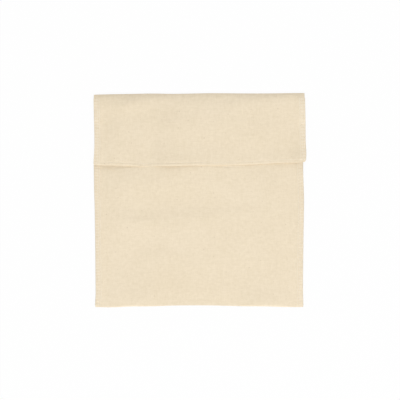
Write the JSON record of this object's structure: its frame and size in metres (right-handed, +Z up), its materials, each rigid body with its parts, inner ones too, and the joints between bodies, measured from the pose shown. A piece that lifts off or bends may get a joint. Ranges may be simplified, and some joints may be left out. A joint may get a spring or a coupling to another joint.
{
  "type": "lunch bag",
  "caption": "Flat fold-over lunch bag in plain cotton canvas: a folded strip sewn up both sides into a pocket, its loose hemmed flap folded over the mouth.",
  "frame": {"origin": "middle of the bag's outline seen from above, on the surface that its back lies on", "axes": "+Z up, away from the surface; +Y from the bottom fold to the top fold; +X to the right seen from above with the top fold away"},
  "size_m": [0.204, 0.2056, 0.0081],
  "materials": {
    "cotton_canvas": "matte, undyed plain-weave cotton canvas with flecks and slubs",
    "sewing_thread": "matte spun cotton thread, a little paler than the canvas"
  },
  "bodies": {
    "root": {"bag_cloth": "cotton_canvas"}
  },
  "joints": []
}
